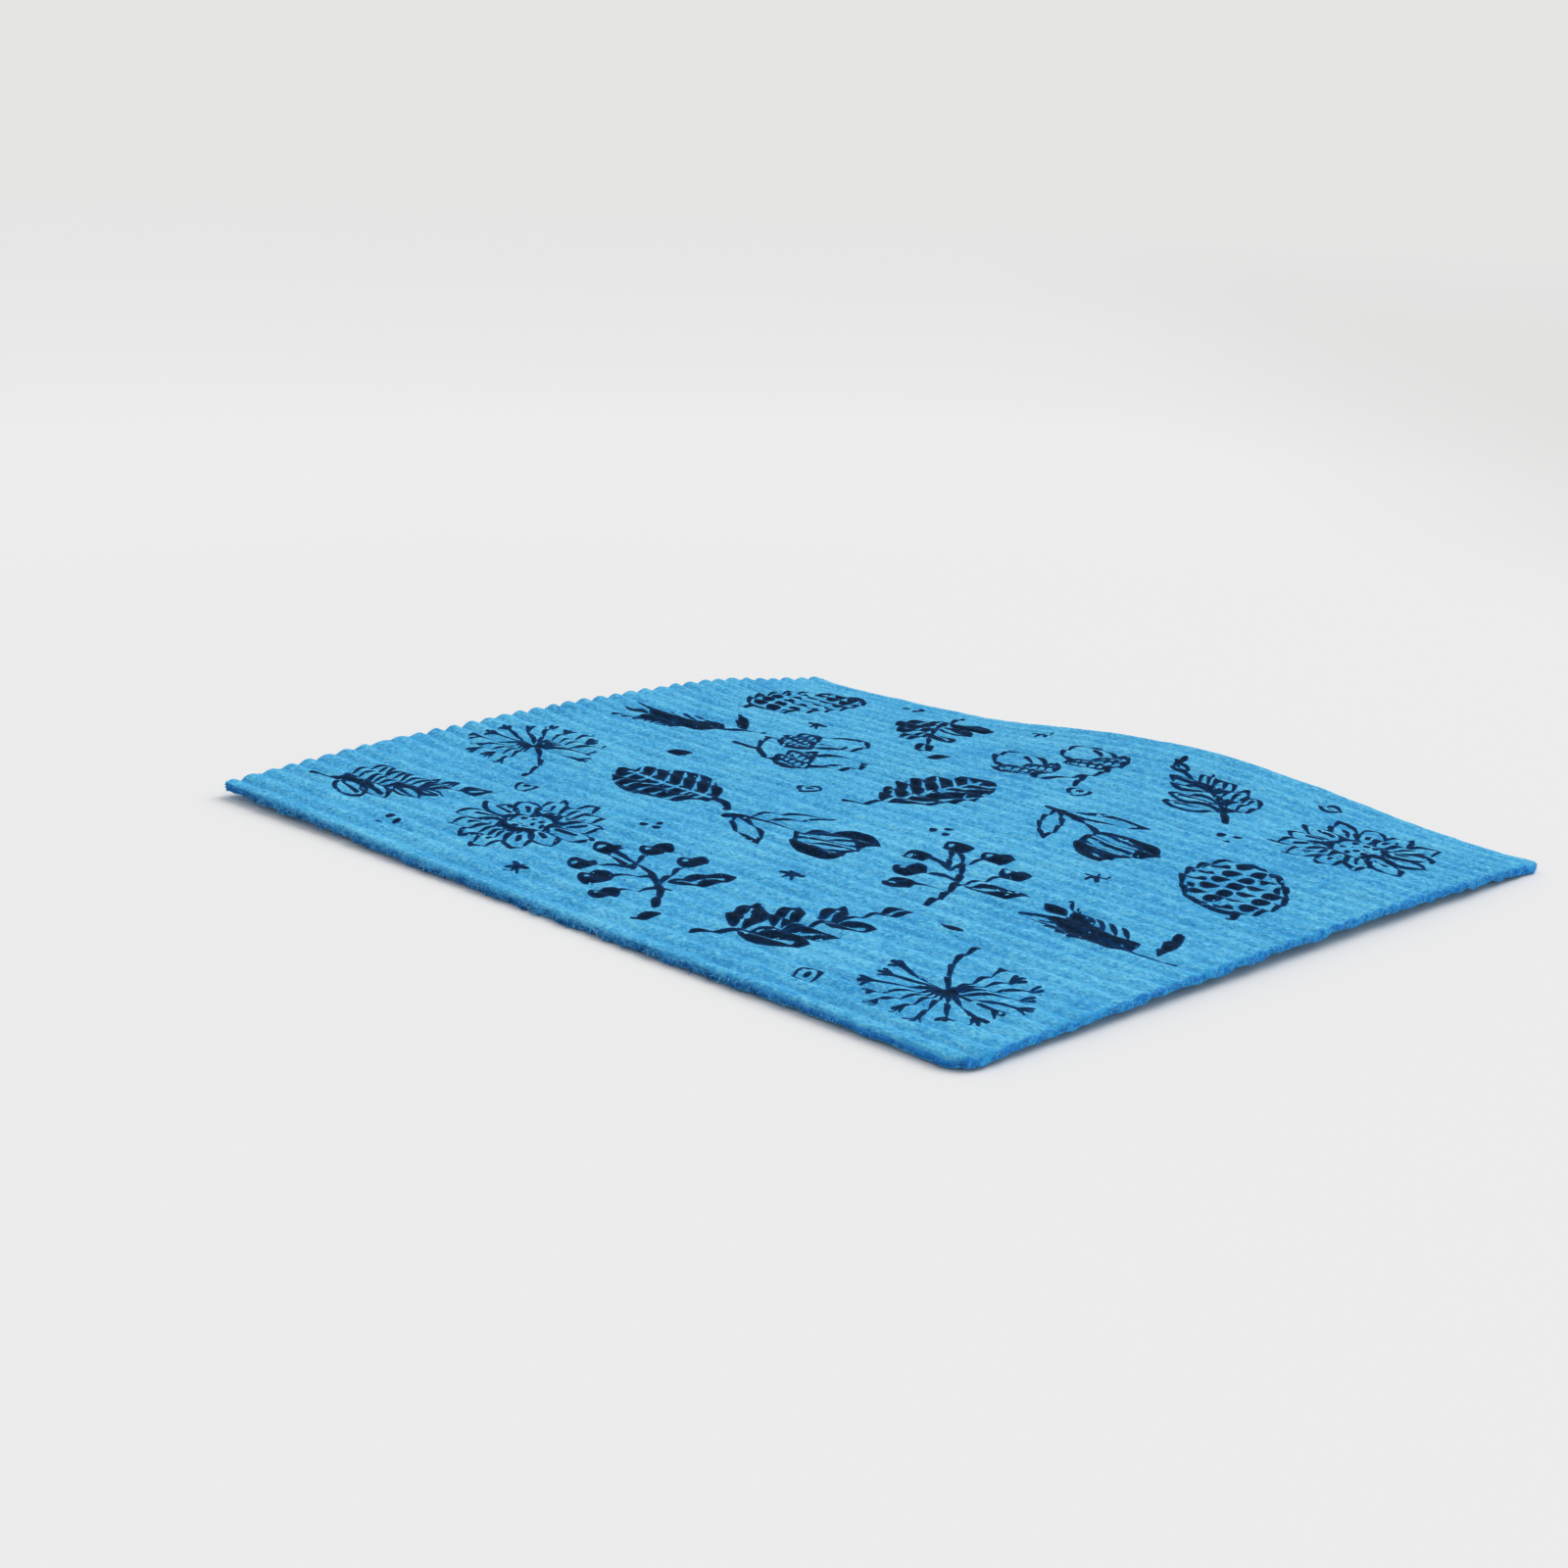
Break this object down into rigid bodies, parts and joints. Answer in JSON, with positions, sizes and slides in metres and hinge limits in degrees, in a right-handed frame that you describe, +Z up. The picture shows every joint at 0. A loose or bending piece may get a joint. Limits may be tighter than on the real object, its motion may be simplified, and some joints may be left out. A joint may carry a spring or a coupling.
{
  "type": "sponge cloth",
  "caption": "Flat ribbed sponge cloth of cellulose and cotton, dried stiff with gently curled edges, printed with line art on its face.",
  "frame": {"origin": "on the surface that the cloth rests on, under the middle of the sheet", "axes": "+X along the ribs, +Y across the ribs, +Z up from the surface through the printed face"},
  "size_m": [0.2, 0.172, 0.0079],
  "materials": {
    "cloth": "sky blue dyed cellulose and cotton, matt",
    "print": "navy ink soaked into the cloth, matt"
  },
  "bodies": {
    "root": {"cloth_sheet": "cloth"}
  },
  "joints": []
}
